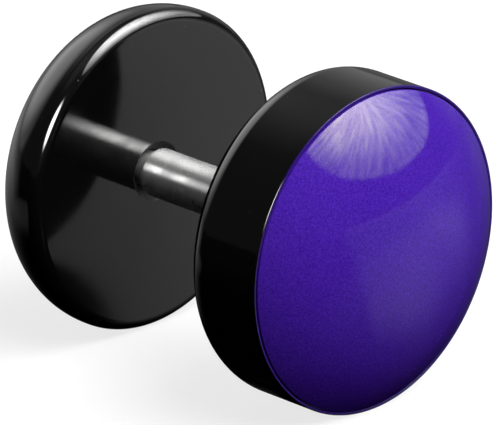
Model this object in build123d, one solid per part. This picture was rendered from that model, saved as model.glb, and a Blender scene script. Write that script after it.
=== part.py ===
from build123d import *
import math
import os

# Fake plug earring: a black cup with a purple domed inlay and a black back disc on a thin steel post, which
# passes through the ear lobe between them. Millimetres. The post lies along Y, the dome faces -Y, and both
# rims rest on the plane z = 0. The origin is at the bottom centre of the whole earring.

# Driving dimensions

disc_diameter = 8.0        # front cup and back disc, across their rims
lobe_gap = 4.9             # room for the ear lobe between the two flat faces
post_diameter = 1.2        # 16 gauge, the shank between the two discs

cup_depth = 2.4            # front cup, from its lip to its flat back
cup_back_round = 0.7       # rounded back edge of the front cup
lip_width = 0.08           # thin lip of the front cup round the inlay
lip_round = 0.03           # both edges of that lip
recess_depth = 0.4         # how deep the inlay sits in the cup
cup_web = 0.7              # wall left between the inlay's recess and the post's socket
tang_diameter = 0.88       # end of the post that is fixed in the cup's socket

dome_rise = 1.4            # crown of the inlay above the lip
dome_edge_rise = 0.02      # edge of the inlay above the lip
dome_shoulder_tilt = 22.0  # slope in degrees where the dome's flatter crown meets its rounder shoulder
dome_edge_tilt = 43.0      # slope in degrees at the dome's edge
dome_edge_round = 0.04     # rounded edge of the inlay

disc_inner_round = 0.3     # edge of the back disc towards the lobe
disc_wall = 0.1            # straight part of the back disc's side
disc_outer_round = 1.6     # large round of the back disc away from the lobe
disc_end_wall = 0.6        # wall left between the threaded hole and the back disc's outer face
thread_diameter = 0.88     # end of the post that the back disc screws on to
mouth_margin = 0.15        # how far the hole's countersunk mouth stands out round the post

shoulder_chamfer = 0.08    # both shoulders of the post's shank
post_end_chamfer = 0.1     # tip of the tang and tip of the thread

inlay_clearance = 0.02     # inlay in its recess, at the side and underneath
socket_clearance = 0.02    # tang in the cup's socket, at the side and at its end
shoulder_clearance = 0.02  # each shoulder of the shank to the flat face beside it
thread_clearance = 0.05    # thread in the back disc's hole, at the side
end_clearance = 0.1        # tip of the thread to the bottom of the hole

# Places along the earring, worked out from the sizes above

disc_radius = disc_diameter / 2
post_radius = post_diameter / 2
tang_radius = tang_diameter / 2
thread_radius = thread_diameter / 2
recess_radius = disc_radius - lip_width
axis_height = disc_radius
disc_thickness = disc_inner_round + disc_wall + disc_outer_round
overall_length = dome_rise + cup_depth + lobe_gap + disc_thickness

crown_y = -overall_length / 2
lip_y = crown_y + dome_rise
recess_floor_y = lip_y + recess_depth
socket_floor_y = recess_floor_y + cup_web
cup_back_y = lip_y + cup_depth
disc_inner_y = cup_back_y + lobe_gap
disc_outer_y = disc_inner_y + disc_thickness
hole_floor_y = disc_outer_y - disc_end_wall


def round_bar(radius, start_y, end_y):
    """A round bar on the earring's axis, from one place along Y to another, with its seam at the bottom."""
    upright = Cylinder(radius, end_y - start_y, align=(Align.CENTER, Align.CENTER, Align.MIN))
    return Pos(0, start_y, axis_height) * Rot(-90, 0, 90) * upright


def rims(solid):
    """The round edges of a turned piece, in order along Y."""
    return solid.edges().filter_by(lambda edge: edge.is_closed).sort_by(Axis.Y)


def make_front_cup():
    cup = round_bar(disc_radius, lip_y, cup_back_y)
    cup = fillet(rims(cup)[-1], cup_back_round)
    cup -= round_bar(recess_radius, crown_y, recess_floor_y)
    lip_edges = rims(cup)[:2]
    cup = fillet(lip_edges, lip_round)
    cup -= round_bar(tang_radius + socket_clearance, socket_floor_y, disc_inner_y)
    return cup


def make_dome_inlay():
    inlay_radius = recess_radius - inlay_clearance
    floor_y = recess_floor_y - inlay_clearance
    edge_y = lip_y - dome_edge_rise
    cap_height = edge_y - crown_y

    # The dome's section is two arcs that meet smoothly: from the crown to the shoulder, and on to the edge.
    # Their radii are the two that reach the inlay's radius and the dome's height together.
    crown_angle = math.radians(dome_shoulder_tilt)
    edge_angle = math.radians(dome_edge_tilt)
    crown_out, crown_down = math.sin(crown_angle), 1 - math.cos(crown_angle)
    edge_out, edge_down = math.sin(edge_angle) - crown_out, math.cos(crown_angle) - math.cos(edge_angle)
    share = crown_out * edge_down - crown_down * edge_out
    crown_radius = (inlay_radius * edge_down - cap_height * edge_out) / share
    shoulder_radius = (cap_height * crown_out - inlay_radius * crown_down) / share
    shoulder_centre = (
        (crown_radius - shoulder_radius) * crown_out,
        crown_y + crown_radius - (crown_radius - shoulder_radius) * math.cos(crown_angle),
    )

    outline = [
        CenterArc((0, crown_y + crown_radius), crown_radius, -90, dome_shoulder_tilt),
        CenterArc(shoulder_centre, shoulder_radius, dome_shoulder_tilt - 90, dome_edge_tilt - dome_shoulder_tilt),
        Line((inlay_radius, edge_y), (inlay_radius, floor_y)),
        Line((inlay_radius, floor_y), (0, floor_y)),
        Line((0, floor_y), (0, crown_y)),
    ]
    section = Plane(origin=(0, 0, axis_height), x_dir=(0, 0, -1), z_dir=(1, 0, 0))
    inlay = revolve(section * make_face(outline), Axis((0, 0, axis_height), (0, 1, 0)))
    dome_edge = rims(inlay)[1]
    return fillet(dome_edge, dome_edge_round)


def make_ear_post():
    shank_start_y = cup_back_y + shoulder_clearance
    shank_end_y = disc_inner_y - shoulder_clearance
    shank = round_bar(post_radius, shank_start_y, shank_end_y)
    tang = round_bar(tang_radius, socket_floor_y + socket_clearance, shank_start_y)
    thread = round_bar(thread_radius, shank_end_y, hole_floor_y - end_clearance)
    shank = chamfer(rims(shank), shoulder_chamfer)
    tang = chamfer(rims(tang)[0], post_end_chamfer)
    thread = chamfer(rims(thread)[-1], post_end_chamfer)
    return shank + tang + thread


def make_back_disc():
    hole_radius = thread_radius + thread_clearance
    disc = round_bar(disc_radius, disc_inner_y, disc_outer_y)
    disc = fillet(rims(disc)[0], disc_inner_round)
    disc = fillet(rims(disc)[-1], disc_outer_round)
    disc -= round_bar(hole_radius, cup_back_y, hole_floor_y)
    mouth = rims(disc).group_by(Axis.Y)[0].sort_by(SortBy.RADIUS)[0]
    return chamfer(mouth, post_radius + mouth_margin - hole_radius)


pieces = {
    "front_cup": make_front_cup(),
    "dome_inlay": make_dome_inlay(),
    "ear_post": make_ear_post(),
    "back_disc": make_back_disc(),
}

os.makedirs("parts", exist_ok=True)
for name, piece in pieces.items():
    export_step(piece, f"parts/{name}.step")
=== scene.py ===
import math

import bpy
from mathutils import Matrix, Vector


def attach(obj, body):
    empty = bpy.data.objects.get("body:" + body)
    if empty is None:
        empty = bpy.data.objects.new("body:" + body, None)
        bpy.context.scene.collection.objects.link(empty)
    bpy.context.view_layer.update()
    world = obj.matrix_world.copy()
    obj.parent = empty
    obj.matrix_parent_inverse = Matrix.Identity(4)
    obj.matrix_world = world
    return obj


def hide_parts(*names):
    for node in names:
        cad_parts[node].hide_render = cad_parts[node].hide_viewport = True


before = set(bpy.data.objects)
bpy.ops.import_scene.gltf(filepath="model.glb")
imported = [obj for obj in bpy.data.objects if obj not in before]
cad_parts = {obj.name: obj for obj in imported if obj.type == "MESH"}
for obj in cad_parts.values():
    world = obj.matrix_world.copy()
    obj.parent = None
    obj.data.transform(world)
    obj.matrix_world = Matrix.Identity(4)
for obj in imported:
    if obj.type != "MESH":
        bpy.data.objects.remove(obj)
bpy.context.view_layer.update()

# A fake plug earring in a pale studio: a black cup with a purple dome, a steel post and a black back disc.
# The post lies along Y and the dome faces -Y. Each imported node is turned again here, with more faces and
# exact normals, because facets would show in gloss as smooth as this.

# Driving sizes in metres, as in the part

MM = 0.001

DISC_R = 4 * MM
LOBE_GAP = 4.9 * MM
POST_R = 0.6 * MM

CUP_DEPTH = 2.4 * MM
CUP_BACK_ROUND = 0.7 * MM
LIP_WIDTH = 0.08 * MM
LIP_ROUND = 0.03 * MM
RECESS_DEPTH = 0.4 * MM
CUP_WEB = 0.7 * MM
TANG_R = 0.44 * MM

DOME_RISE = 1.4 * MM
DOME_EDGE_RISE = 0.02 * MM
DOME_EDGE_ROUND = 0.04 * MM
SHOULDER_TILT = 22.0        # degrees, where the dome's crown meets its shoulder
EDGE_TILT = 43.0            # degrees, at the dome's edge

DISC_INNER_ROUND = 0.3 * MM
DISC_WALL = 0.1 * MM
DISC_OUTER_ROUND = 1.6 * MM
DISC_END_WALL = 0.6 * MM
THREAD_R = 0.44 * MM
MOUTH_MARGIN = 0.15 * MM

SHOULDER_CHAMFER = 0.08 * MM
TIP_CHAMFER = 0.1 * MM

CLEARANCE = 0.02 * MM       # round the inlay, round the tang and at both shoulders of the shank
THREAD_CLEARANCE = 0.05 * MM
END_CLEARANCE = 0.1 * MM

# Places and radii worked out from them

AXIS_Z = DISC_R
CROWN_Y = -(DOME_RISE + CUP_DEPTH + LOBE_GAP + DISC_INNER_ROUND + DISC_WALL + DISC_OUTER_ROUND) / 2
LIP_Y = CROWN_Y + DOME_RISE
RECESS_FLOOR_Y = LIP_Y + RECESS_DEPTH
SOCKET_FLOOR_Y = RECESS_FLOOR_Y + CUP_WEB
CUP_BACK_Y = LIP_Y + CUP_DEPTH
DISC_INNER_Y = CUP_BACK_Y + LOBE_GAP
DISC_OUTER_Y = DISC_INNER_Y + DISC_INNER_ROUND + DISC_WALL + DISC_OUTER_ROUND
HOLE_FLOOR_Y = DISC_OUTER_Y - DISC_END_WALL

INLAY_EDGE_Y = LIP_Y - DOME_EDGE_RISE
INLAY_FLOOR_Y = RECESS_FLOOR_Y - CLEARANCE
TANG_TIP_Y = SOCKET_FLOOR_Y + CLEARANCE
SHANK_START_Y = CUP_BACK_Y + CLEARANCE
SHANK_END_Y = DISC_INNER_Y - CLEARANCE
THREAD_TIP_Y = HOLE_FLOOR_Y - END_CLEARANCE

RECESS_R = DISC_R - LIP_WIDTH
INLAY_R = RECESS_R - CLEARANCE
SOCKET_R = TANG_R + CLEARANCE
HOLE_R = THREAD_R + THREAD_CLEARANCE
MOUTH_R = POST_R + MOUTH_MARGIN

# Faces of the turned pieces

AROUND = 256                # round every piece
ARC_STEPS = 16              # across a rounded edge
FINE_STEPS = 6              # across an edge of the lip
CROWN_STEPS, SHOULDER_STEPS, EDGE_STEPS = 40, 30, 10
FLAT_STEPS = 6              # from the rim of a flat face to its middle
CUP_SIDE_STEPS, SHANK_STEPS = 4, 24
SAME_PLACE = 1e-9           # metres, within which two points are one


# A turned piece's profile is a list of runs, and a run is a list of points with the surface's slope at each

def straight(r0, y0, r1, y1, steps=1):
    """A straight run of a profile, as (radius, y, normal's radius, normal's y)."""
    length = math.hypot(r1 - r0, y1 - y0)
    normal_r, normal_y = (y1 - y0) / length, -(r1 - r0) / length
    return [(r0 + (r1 - r0) * i / steps, y0 + (y1 - y0) * i / steps, normal_r, normal_y)
            for i in range(steps + 1)]


def arc(centre_r, centre_y, radius, start_deg, end_deg, steps=ARC_STEPS):
    """A round run that bulges outwards. Degrees go from the radius towards +Y."""
    run = []
    for i in range(steps + 1):
        a = math.radians(start_deg + (end_deg - start_deg) * i / steps)
        c, s = math.cos(a), math.sin(a)
        run.append((centre_r + radius * c, centre_y + radius * s, c, s))
    return run


def turned(name, runs, body, node):
    """Makes a piece turned about the post's axis, from a profile that starts and ends on the axis.

    A ring is (radius, y, its first vertex, its number of vertices). One on the axis is a single point, and
    the faces beside it are triangles.
    """
    rings, vertices, faces, normals = [], [], [], []

    def ring_at(r, y):
        if not rings or math.hypot(rings[-1][0] - r, rings[-1][1] - y) > SAME_PLACE:
            count = AROUND if r > SAME_PLACE else 1
            rings.append((r, y, len(vertices), count))
            for k in range(count):
                a = 2 * math.pi * k / AROUND
                vertices.append((r * math.cos(a), y, AXIS_Z + r * math.sin(a)))
        return len(rings) - 1

    def corner(ring, k, normal):
        _, _, start, count = rings[ring]
        a = 2 * math.pi * k / AROUND
        normals.append((normal[0] * math.cos(a), normal[1], normal[0] * math.sin(a)))
        return start + k % count

    for run in runs:
        for here, there in zip(run, run[1:]):
            first, second = ring_at(*here[:2]), ring_at(*there[:2])
            for k in range(AROUND):
                face = [corner(first, k, here[2:])]
                if rings[second][3] > 1:
                    face += [corner(second, k, there[2:]), corner(second, k + 1, there[2:])]
                else:
                    face += [corner(second, 0, there[2:])]
                if rings[first][3] > 1:
                    face += [corner(first, k + 1, here[2:])]
                faces.append(face)

    mesh = bpy.data.meshes.new(name)
    mesh.from_pydata(vertices, [], faces)
    mesh.update()
    mesh.shade_smooth()
    mesh.normals_split_custom_set(normals)
    piece = bpy.data.objects.new(name, mesh)
    bpy.context.scene.collection.objects.link(piece)
    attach(piece, body)
    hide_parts(node)
    return piece


def cup_runs():
    """From the middle of the inlay's recess over the lip, the side and the flat back into the socket."""
    lip_y = LIP_Y + LIP_ROUND
    back_r, back_y = DISC_R - CUP_BACK_ROUND, CUP_BACK_Y - CUP_BACK_ROUND
    return [
        straight(0, RECESS_FLOOR_Y, RECESS_R, RECESS_FLOOR_Y, FLAT_STEPS),
        straight(RECESS_R, RECESS_FLOOR_Y, RECESS_R, lip_y),
        arc(RECESS_R + LIP_ROUND, lip_y, LIP_ROUND, 180, 270, FINE_STEPS),
        straight(RECESS_R + LIP_ROUND, LIP_Y, DISC_R - LIP_ROUND, LIP_Y),
        arc(DISC_R - LIP_ROUND, lip_y, LIP_ROUND, -90, 0, FINE_STEPS),
        straight(DISC_R, lip_y, DISC_R, back_y, CUP_SIDE_STEPS),
        arc(back_r, back_y, CUP_BACK_ROUND, 0, 90),
        straight(back_r, CUP_BACK_Y, SOCKET_R, CUP_BACK_Y, FLAT_STEPS),
        straight(SOCKET_R, CUP_BACK_Y, SOCKET_R, SOCKET_FLOOR_Y),
        straight(SOCKET_R, SOCKET_FLOOR_Y, 0, SOCKET_FLOOR_Y),
    ]


def dome_section():
    """The dome's two arcs, from the crown to its edge, with the radii that the part works out."""
    height = INLAY_EDGE_Y - CROWN_Y
    crown, edge = math.radians(SHOULDER_TILT), math.radians(EDGE_TILT)
    crown_out, crown_down = math.sin(crown), 1 - math.cos(crown)
    edge_out, edge_down = math.sin(edge) - crown_out, math.cos(crown) - math.cos(edge)
    share = crown_out * edge_down - crown_down * edge_out
    crown_r = (INLAY_R * edge_down - height * edge_out) / share
    shoulder_r = (height * crown_out - INLAY_R * crown_down) / share
    centre_r = (crown_r - shoulder_r) * crown_out
    centre_y = CROWN_Y + crown_r - (crown_r - shoulder_r) * math.cos(crown)
    return crown_r, shoulder_r, centre_r, centre_y


def inlay_runs():
    """From the dome's crown over its shoulder and its rounded edge to the middle of the inlay's floor."""
    crown_r, shoulder_r, centre_r, centre_y = dome_section()
    # The edge's round touches the shoulder's arc from inside, and the straight side
    round_r = INLAY_R - DOME_EDGE_ROUND
    reach = shoulder_r - DOME_EDGE_ROUND
    round_y = centre_y - math.sqrt(reach ** 2 - (round_r - centre_r) ** 2)
    meet = math.degrees(math.asin((round_r - centre_r) / reach))
    return [
        arc(0, CROWN_Y + crown_r, crown_r, -90, SHOULDER_TILT - 90, CROWN_STEPS),
        arc(centre_r, centre_y, shoulder_r, SHOULDER_TILT - 90, meet - 90, SHOULDER_STEPS),
        arc(round_r, round_y, DOME_EDGE_ROUND, meet - 90, 0, EDGE_STEPS),
        straight(INLAY_R, round_y, INLAY_R, INLAY_FLOOR_Y),
        straight(INLAY_R, INLAY_FLOOR_Y, 0, INLAY_FLOOR_Y, FLAT_STEPS),
    ]


def post_runs():
    """From the tip of the tang over the shank to the tip of the thread."""
    shank_r = POST_R - SHOULDER_CHAMFER
    bevel_start_y, bevel_end_y = SHANK_START_Y + SHOULDER_CHAMFER, SHANK_END_Y - SHOULDER_CHAMFER
    tang_tip_r, thread_tip_r = TANG_R - TIP_CHAMFER, THREAD_R - TIP_CHAMFER
    return [
        straight(0, TANG_TIP_Y, tang_tip_r, TANG_TIP_Y),
        straight(tang_tip_r, TANG_TIP_Y, TANG_R, TANG_TIP_Y + TIP_CHAMFER),
        straight(TANG_R, TANG_TIP_Y + TIP_CHAMFER, TANG_R, SHANK_START_Y),
        straight(TANG_R, SHANK_START_Y, shank_r, SHANK_START_Y),
        straight(shank_r, SHANK_START_Y, POST_R, bevel_start_y),
        straight(POST_R, bevel_start_y, POST_R, bevel_end_y, SHANK_STEPS),
        straight(POST_R, bevel_end_y, shank_r, SHANK_END_Y),
        straight(shank_r, SHANK_END_Y, THREAD_R, SHANK_END_Y),
        straight(THREAD_R, SHANK_END_Y, THREAD_R, THREAD_TIP_Y - TIP_CHAMFER),
        straight(THREAD_R, THREAD_TIP_Y - TIP_CHAMFER, thread_tip_r, THREAD_TIP_Y),
        straight(thread_tip_r, THREAD_TIP_Y, 0, THREAD_TIP_Y),
    ]


def disc_runs():
    """From the bottom of the hole over the flat inner face and the side to the middle of the outer face."""
    mouth_y = DISC_INNER_Y + MOUTH_R - HOLE_R
    inner_r, inner_y = DISC_R - DISC_INNER_ROUND, DISC_INNER_Y + DISC_INNER_ROUND
    outer_r, outer_y = DISC_R - DISC_OUTER_ROUND, DISC_OUTER_Y - DISC_OUTER_ROUND
    return [
        straight(0, HOLE_FLOOR_Y, HOLE_R, HOLE_FLOOR_Y),
        straight(HOLE_R, HOLE_FLOOR_Y, HOLE_R, mouth_y),
        straight(HOLE_R, mouth_y, MOUTH_R, DISC_INNER_Y),
        straight(MOUTH_R, DISC_INNER_Y, inner_r, DISC_INNER_Y, FLAT_STEPS),
        arc(inner_r, inner_y, DISC_INNER_ROUND, -90, 0),
        straight(DISC_R, inner_y, DISC_R, outer_y),
        arc(outer_r, outer_y, DISC_OUTER_ROUND, 0, 90, 2 * ARC_STEPS),
        straight(outer_r, DISC_OUTER_Y, 0, DISC_OUTER_Y, FLAT_STEPS),
    ]


front_cup = turned("cup_shell", cup_runs(), "earring", "front_cup")
inlay = turned("domed_resin", inlay_runs(), "earring", "dome_inlay")
post = turned("steel_post", post_runs(), "earring", "ear_post")
back_disc = turned("back_disc_body", disc_runs(), "screw_back", "back_disc")


# Node trees

class Nodes:
    """Adds nodes to a tree and joins them in one call."""

    def __init__(self, tree):
        self.tree = tree
        tree.nodes.clear()

    def put(self, node, inputs):
        """Gives each named input of a node its value, or a link from another node's output."""
        for key, value in inputs.items():
            if isinstance(value, bpy.types.NodeSocket):
                self.tree.links.new(value, node.inputs[key])
            else:
                node.inputs[key].default_value = value

    def add(self, kind, inputs=None, **settings):
        node = self.tree.nodes.new(kind)
        for key, value in settings.items():
            setattr(node, key, value)
        self.put(node, inputs or {})
        return node

    def math(self, operation, a, b=0.0, c=0.0):
        return self.add("ShaderNodeMath", {0: a, 1: b, 2: c}, operation=operation).outputs[0]

    def plus(self, a, b):
        return self.math("ADD", a, b)

    def times(self, a, b):
        return self.math("MULTIPLY", a, b)

    def vector(self, operation, a, b=(0, 0, 0)):
        node = self.add("ShaderNodeVectorMath", {0: a, 1: b}, operation=operation)
        return node.outputs["Value" if operation in ("LENGTH", "DOT_PRODUCT") else "Vector"]

    def scaled(self, vector, factors):
        return self.vector("MULTIPLY", vector, factors)

    def from_place(self, vector, place):
        return self.vector("SUBTRACT", vector, place)

    def length(self, vector):
        return self.vector("LENGTH", vector)

    def along(self, vector, way):
        return self.vector("DOT_PRODUCT", vector, tuple(way))

    def split(self, vector):
        """The outputs X, Y and Z of a vector."""
        return self.add("ShaderNodeSeparateXYZ", {"Vector": vector}).outputs

    def noise(self, vector, scale, detail=3.0, roughness=0.5):
        inputs = {"Vector": vector, "Scale": scale, "Detail": detail, "Roughness": roughness}
        return self.add("ShaderNodeTexNoise", inputs).outputs["Fac"]

    def ease(self, value, low, high, at_low=0.0, at_high=1.0):
        """A smooth step: at_low where the value is low or less, and at_high where it is high or more."""
        inputs = {"Value": value, "From Min": low, "From Max": high, "To Min": at_low, "To Max": at_high}
        return self.add("ShaderNodeMapRange", inputs, interpolation_type="SMOOTHSTEP").outputs["Result"]

    def fade(self, value, low, high):
        """A smooth step down from 1 to 0."""
        return self.ease(value, low, high, at_low=1.0, at_high=0.0)

    def colour_mix(self, factor, a, b):
        """The colour a where the factor is 0, and b where it is 1."""
        return self.add("ShaderNodeMix", {0: factor, 6: a, 7: b}, data_type="RGBA").outputs[2]

    def bump(self, height, strength, distance):
        inputs = {"Height": height, "Strength": strength, "Distance": distance}
        return self.add("ShaderNodeBump", inputs).outputs["Normal"]


# Materials. Noise scales are per metre, colours are linear, and a place is one in the earring's own frame

def new_material(name):
    made = bpy.data.materials.new(name)
    made.use_nodes = True
    nodes = Nodes(made.node_tree)
    shader = nodes.add("ShaderNodeBsdfPrincipled")
    nodes.add("ShaderNodeOutputMaterial", {"Surface": shader.outputs["BSDF"]})
    return made, nodes, shader


def place_on(nodes):
    return nodes.add("ShaderNodeTexCoord").outputs["Object"]


# Resin has run onto the inner half of the cup's lip, and onto its whole width near the top. Where a name has
# two places, a change starts at the first and ends at the second
FILM_R, FILM_TOP_R = 3.965 * MM, 4.0 * MM
FILM_WIDENS_Z = 6.0 * MM, 7.2 * MM
FILM_FADE = 0.015 * MM
FILM_ENDS_Y = LIP_Y + 0.02 * MM, LIP_Y + 0.03 * MM

# The black is duller in the countersink and close to the post
DULL_ENDS_R = MOUTH_R - 0.02 * MM, MOUTH_R + 0.02 * MM
DULL_ENDS_Y = DISC_INNER_Y + 0.5 * MM, DISC_INNER_Y + 0.6 * MM


def black_acrylic():
    """Polished black acrylic with a little dust, faint polishing marks and a film of resin on the lip."""
    black, charcoal = (0.0006, 0.0006, 0.0007, 1), (0.0014, 0.0014, 0.0014, 1)
    dust_colour, film_colour = (0.05, 0.05, 0.048, 1), (0.011, 0.0016, 0.072, 1)
    full_gloss, film_gloss = 0.5, 0.1
    dust_roughness, dull_roughness = 0.3, 0.4

    made, nodes, shader = new_material("black_acrylic")
    place = place_on(nodes)
    parts = nodes.split(place)
    out = nodes.length(nodes.scaled(nodes.from_place(place, (0, 0, AXIS_Z)), (1, 0, 1)))

    on_lip = nodes.fade(parts["Y"], *FILM_ENDS_Y)
    film_edge = nodes.ease(parts["Z"], *FILM_WIDENS_Z, at_low=FILM_R, at_high=FILM_TOP_R)
    beyond = nodes.math("SUBTRACT", out, film_edge)
    film = nodes.times(on_lip, nodes.fade(beyond, 0.0, FILM_FADE))

    cloud = nodes.noise(place, scale=700)
    dust = nodes.ease(nodes.noise(place, scale=15000, detail=1), 0.79, 0.84)
    colour = nodes.colour_mix(cloud, black, charcoal)
    colour = nodes.colour_mix(dust, colour, dust_colour)
    colour = nodes.colour_mix(film, colour, film_colour)

    marks = nodes.noise(nodes.scaled(place, (1, 6, 1)), scale=5200, detail=4, roughness=0.7)
    marks = nodes.ease(marks, 0.45, 0.75, at_high=0.03)
    roughness = nodes.ease(cloud, 0.3, 0.7, at_low=0.05, at_high=0.085)
    roughness = nodes.plus(nodes.plus(roughness, marks), nodes.times(dust, dust_roughness))
    dull = nodes.times(nodes.fade(out, *DULL_ENDS_R), nodes.fade(parts["Y"], *DULL_ENDS_Y))
    ripple = nodes.noise(place, scale=450, detail=2)

    nodes.put(shader, {
        "Base Color": colour,
        "Roughness": nodes.math("MULTIPLY_ADD", dull, dull_roughness, roughness),
        "IOR": 1.49,
        "Specular IOR Level": nodes.math("MULTIPLY_ADD", film, film_gloss - full_gloss, full_gloss),
        "Normal": nodes.bump(ripple, strength=0.05, distance=0.02 * MM),
    })
    return made


def purple_resin():
    """Purple lacquer with a fine grain and faint clouds. A tint warms its gloss, as in the photo."""
    dark_grains = (0.0150, 0.0022, 0.112, 1), (0.0185, 0.0030, 0.127, 1)
    light_grains = (0.0310, 0.0080, 0.181, 1), (0.0370, 0.0102, 0.202, 1)

    made, nodes, shader = new_material("purple_resin")
    place = place_on(nodes)
    grain = nodes.ease(nodes.noise(place, scale=27000, detail=2, roughness=0.6), 0.3, 0.7)
    cloud = nodes.noise(place, scale=420)
    dark, light = nodes.colour_mix(cloud, *dark_grains), nodes.colour_mix(cloud, *light_grains)
    nodes.put(shader, {
        "Base Color": nodes.colour_mix(grain, dark, light),
        "Roughness": nodes.ease(cloud, 0.3, 0.7, at_low=0.04, at_high=0.065),
        "IOR": 1.5,
        "Specular IOR Level": 0.25,
        "Specular Tint": (1, 0.93, 0.5, 1),
        "Normal": nodes.bump(grain, strength=0.06, distance=0.002 * MM),
    })
    return made


def turned_steel():
    """Steel turned on a lathe, blotchy from handling. Its fine rings spread highlights along the post."""
    dull, bright = (0.42, 0.42, 0.42, 1), (0.66, 0.66, 0.65, 1)

    made, nodes, shader = new_material("turned_steel")
    place = place_on(nodes)
    blotch = nodes.noise(place, scale=1800, detail=2)
    rings = nodes.noise(nodes.scaled(place, (1, 22, 1)), scale=1500, detail=4, roughness=0.6)
    tangent = nodes.add("ShaderNodeTangent", direction_type="RADIAL", axis="Y")
    nodes.put(shader, {
        "Base Color": nodes.colour_mix(nodes.ease(blotch, 0.3, 0.7), dull, bright),
        "Metallic": 0.88,
        "Roughness": nodes.ease(blotch, 0.35, 0.65, at_low=0.36, at_high=0.26),
        "Anisotropic": 0.4,
        "Anisotropic Rotation": 0.25,
        "Tangent": tangent.outputs[0],
        "Normal": nodes.bump(rings, strength=0.04, distance=0.01 * MM),
    })
    return made


black = black_acrylic()
finishes = ((front_cup, black), (back_disc, black), (inlay, purple_resin()), (post, turned_steel()))
for piece, finish in finishes:
    piece.data.materials.append(finish)


# Light: a big round key light at the front right, a small round one near the camera, a soft one behind and
# a wide one overhead. A panel's radiance goes by the place on it, from its middle in half widths and heights

CENTRE = Vector((0, 0, AXIS_Z))
LIGHT_DISTANCE = 1.0


def direction(azimuth, elevation):
    a, e = math.radians(azimuth), math.radians(elevation)
    return Vector((math.sin(a) * math.cos(e), -math.cos(a) * math.cos(e), math.sin(e)))


def area_light(name, radiance, azimuth, elevation, wide, high):
    """An oval panel that faces the earring. It is as many degrees wide and high as seen from there."""
    way = direction(azimuth, elevation)
    rotation = way.to_track_quat("Z", "Y")
    location = CENTRE + way * LIGHT_DISTANCE
    half_wide = LIGHT_DISTANCE * math.tan(math.radians(wide / 2))
    half_high = LIGHT_DISTANCE * math.tan(math.radians(high / 2))
    data = bpy.data.lights.new(name, "AREA")
    data.shape = "ELLIPSE"
    data.size, data.size_y = 2 * half_wide, 2 * half_high
    # At this power a strength of 1 in the nodes is a radiance of 1
    data.energy = math.pi * math.pi * half_wide * half_high
    data.use_nodes = True
    nodes = Nodes(data.node_tree)
    offset = nodes.from_place(nodes.add("ShaderNodeNewGeometry").outputs["Position"], tuple(location))
    across = nodes.along(offset, rotation @ Vector((1 / half_wide, 0, 0)))
    upwards = nodes.along(offset, rotation @ Vector((0, 1 / half_high, 0)))
    place = nodes.add("ShaderNodeCombineXYZ", {"X": across, "Y": upwards}).outputs[0]
    emission = nodes.add("ShaderNodeEmission", {"Strength": radiance(nodes, place)})
    nodes.add("ShaderNodeOutputLight", {"Surface": emission.outputs[0]})
    light = bpy.data.objects.new(name, data)
    bpy.context.scene.collection.objects.link(light)
    light.location = location
    light.rotation_mode = "QUATERNION"
    light.rotation_quaternion = rotation
    light.visible_camera = False
    return light


def key_radiance(nodes, place):
    """An umbrella's cloth: brightest above its middle, darker from there on, and with fibres all round."""
    hot_spot, hot_shape = (-0.1, 0.35, 0), (1.15, 0.9, 1)
    middle, fineness_around, fineness_outwards = (0.06, 0.02, 0), (16, 16, 0), (2.5, 2.5, 0)

    from_hot_spot = nodes.length(nodes.scaled(nodes.from_place(place, hot_spot), hot_shape))
    fall = nodes.ease(from_hot_spot, 0.0, 1.1, at_low=25.5, at_high=3.0)
    spoke = nodes.from_place(place, middle)
    around = nodes.scaled(nodes.vector("NORMALIZE", spoke), fineness_around)
    cloth = nodes.vector("ADD", around, nodes.scaled(spoke, fineness_outwards))
    fibres = nodes.ease(nodes.noise(cloth, scale=1.0, roughness=0.7), 0.34, 0.66, at_low=0.5, at_high=1.5)
    rim = nodes.ease(nodes.length(place), 0.93, 1.0, at_low=1.0, at_high=0.5)
    right = nodes.ease(nodes.split(place)["X"], 0.45, 0.95, at_low=1.0, at_high=0.35)
    return nodes.times(nodes.times(fall, fibres), nodes.times(rim, right))


def front_radiance(nodes, place):
    return nodes.ease(nodes.length(place), 0.4, 1.0, at_low=48.0, at_high=0.0)


def rear_radiance(nodes, place):
    hot_spot = (0, 0.15, 0)
    hot = nodes.ease(nodes.length(nodes.from_place(place, hot_spot)), 0.35, 0.8, at_low=1.4, at_high=0.0)
    return nodes.plus(hot, nodes.ease(nodes.length(place), 0.75, 1.0, at_low=0.5, at_high=0.05))


def top_radiance(nodes, place):
    return nodes.ease(nodes.length(place), 0.6, 1.0, at_low=18.0, at_high=11.0)


key_light = area_light("key_light", key_radiance, azimuth=47.4, elevation=46, wide=80, high=73.5)
front_light = area_light("front_light", front_radiance, azimuth=-46, elevation=26, wide=36, high=32)
rear_light = area_light("rear_light", rear_radiance, azimuth=176, elevation=19, wide=74, high=64)
top_light = area_light("top_light", top_radiance, azimuth=13, elevation=53, wide=60, high=50)

# The key, front and rear lights give the gloss, and the light overhead gives the colour and the soft shadow
for light in (key_light, front_light, rear_light):
    light.visible_diffuse = False
top_light.visible_glossy = False

# The front light draws the thin lines on the black edges. It lights only the two black pieces
lined = bpy.data.collections.new("front_light_receivers")
for piece in (front_cup, back_disc):
    lined.objects.link(piece)
front_light.light_linking.receiver_collection = lined


def studio_world():
    """A dim room that is paler overhead and at the right rear. The camera sees it white."""
    world = bpy.data.worlds.new("studio")
    world.use_nodes = True
    nodes = Nodes(world.node_tree)
    way = nodes.add("ShaderNodeTexCoord").outputs["Generated"]
    overhead = nodes.ease(nodes.split(way)["Z"], 0.75, 1.0, at_low=0.09, at_high=0.5)
    right_rear = nodes.ease(nodes.along(way, direction(115, 16)), 0.8, 0.97, at_high=0.42)
    seen = nodes.add("ShaderNodeLightPath").outputs["Is Camera Ray"]
    brightness = nodes.plus(seen, nodes.plus(overhead, right_rear))
    sky = nodes.add("ShaderNodeBackground", {"Strength": brightness})
    nodes.add("ShaderNodeOutputWorld", {"Surface": sky.outputs[0]})
    return world


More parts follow.
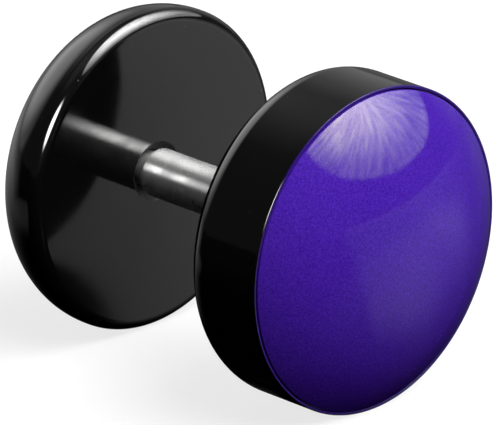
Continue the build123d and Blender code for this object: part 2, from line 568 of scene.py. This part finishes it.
bpy.context.scene.world = studio_world()


# Floor: the pale one that shows, and a dark polished one that only the earring's own gloss sees

FLOOR_SIZE = 6.0

POLISH_POWER, POLISH_SHARE, POLISH_LIMIT = 4.3, 0.45, 0.2
POLISH_ROUGHNESS = 0.2
BETTER_POLISH_WAY = (1, 0.8, 0)             # to the right and the rear, where the floor mirrors more
BETTER_POLISH = 1.95
BETTER_POLISH_STARTS = -1 * MM, 8 * MM

# The card is painted light: a glow in the dark floor, shaped like a lit pale card, that only the gloss sees
CARD_ORIGIN = (0, -4 * MM, 0)               # the floor under the dome, from which the card's sides fan out
CARD_LEFT, CARD_RIGHT = 6, 52               # azimuths of its two sides
CARD_STARTS = 2 * MM, 6 * MM
CARD_RADIANCE = 0.5

PATCH_PLACE = (-10.5 * MM, 11.5 * MM, 0)    # behind, to the left of the back disc
PATCH_ENDS = 2 * MM, 6 * MM
PATCH_RADIANCE = 0.17


def plane(name, material):
    bpy.ops.mesh.primitive_plane_add(size=FLOOR_SIZE, location=(0, 0, 0))
    made = bpy.context.object
    made.name = name
    made.data.materials.append(material)
    return made


def pale_finish():
    """A grey that takes the soft shadow, with a glow that brings it up to white."""
    made, nodes, shader = new_material("pale_floor")
    nodes.put(shader, {
        "Base Color": (0.1, 0.1, 0.1, 1),
        "Roughness": 0.8,
        "Emission Color": (1, 1, 1, 1),
        "Emission Strength": 0.78,
    })
    return made


def card_radiance(nodes, spot):
    """A painted glow on the floor in front, to the right of the dome, where a lit pale card would lie."""
    from_origin = nodes.scaled(nodes.from_place(spot, CARD_ORIGIN), (1, 1, 0))
    bearing = nodes.vector("NORMALIZE", from_origin)

    def side(azimuth):
        """Which side of a line from the card's origin a spot is on. The right is positive."""
        a = math.radians(azimuth)
        return nodes.along(bearing, (math.cos(a), math.sin(a), 0))

    left_edge = nodes.ease(side(CARD_LEFT), -0.06, 0.1)
    right_edge = nodes.fade(side(CARD_RIGHT), -0.35, 0.35)
    near_edge = nodes.ease(nodes.length(from_origin), *CARD_STARTS, at_high=CARD_RADIANCE)
    return nodes.times(nodes.times(left_edge, right_edge), near_edge)


def patch_radiance(nodes, spot):
    from_patch = nodes.length(nodes.from_place(spot, PATCH_PLACE))
    return nodes.ease(from_patch, *PATCH_ENDS, at_low=PATCH_RADIANCE, at_high=0.0)


def dark_finish():
    """A dark floor that mirrors more at low angles, with painted light on it: a lit pale card's glow and a
    faint patch.
    """
    made = bpy.data.materials.new("dark_polished_floor")
    made.use_nodes = True
    nodes = Nodes(made.node_tree)
    spot = nodes.add("ShaderNodeNewGeometry").outputs["Position"]

    facing = nodes.add("ShaderNodeLayerWeight").outputs["Facing"]
    mirroring = nodes.times(nodes.math("POWER", facing, POLISH_POWER), POLISH_SHARE)
    mirroring = nodes.math("MINIMUM", mirroring, POLISH_LIMIT)
    rightwards = nodes.along(spot, BETTER_POLISH_WAY)
    better = nodes.ease(rightwards, *BETTER_POLISH_STARTS, at_low=1.0, at_high=BETTER_POLISH)
    mirroring = nodes.times(mirroring, better)

    polish = nodes.add("ShaderNodeBsdfGlossy", {"Roughness": POLISH_ROUGHNESS, "Color": (1, 1, 1, 1)})
    # Painted light: the card's glow and the patch of light are emission, not lit surfaces
    radiance = nodes.plus(card_radiance(nodes, spot), patch_radiance(nodes, spot))
    glow = nodes.add("ShaderNodeEmission", {"Strength": radiance})
    mixed = nodes.add("ShaderNodeMixShader", {0: mirroring, 1: glow.outputs[0], 2: polish.outputs[0]})
    nodes.add("ShaderNodeOutputMaterial", {"Surface": mixed.outputs[0]})
    return made


floor = plane("floor", pale_finish())
floor.visible_glossy = floor.visible_diffuse = False

dark_floor = plane("dark_floor", dark_finish())
dark_floor.visible_camera = dark_floor.visible_diffuse = dark_floor.visible_shadow = False


# Camera: at the photo's viewing angle, with its place and focal length fitted to the outlines of both discs

CAMERA_AZIMUTH, CAMERA_ELEVATION = -44.99, 21.46
CAMERA_TARGET = Vector((0, CUP_BACK_Y, AXIS_Z))
CAMERA_DISTANCE = 0.2
CAMERA_RIGHT, CAMERA_UP = -1.258 * MM, 0.281 * MM
CAMERA_REACH = 0.01, 10                     # metres, between which it sees
SENSOR_WIDTH = 36                           # millimetres, as the focal length
FOCAL_PIXELS, FRAME_WIDTH = 8492.6, 497


def photo_camera():
    data = bpy.data.cameras.new("camera")
    data.sensor_width = SENSOR_WIDTH
    data.lens = SENSOR_WIDTH * FOCAL_PIXELS / FRAME_WIDTH
    data.clip_start, data.clip_end = CAMERA_REACH
    made = bpy.data.objects.new("camera", data)
    bpy.context.scene.collection.objects.link(made)
    back = direction(CAMERA_AZIMUTH, CAMERA_ELEVATION)
    right = Vector((math.cos(math.radians(CAMERA_AZIMUTH)), math.sin(math.radians(CAMERA_AZIMUTH)), 0))
    up = back.cross(right)
    made.location = CAMERA_TARGET + back * CAMERA_DISTANCE + right * CAMERA_RIGHT + up * CAMERA_UP
    made.rotation_mode = "QUATERNION"
    made.rotation_quaternion = back.to_track_quat("Z", "Y")
    return made


bpy.context.scene.camera = photo_camera()
bpy.context.scene.view_settings.view_transform = "Standard"
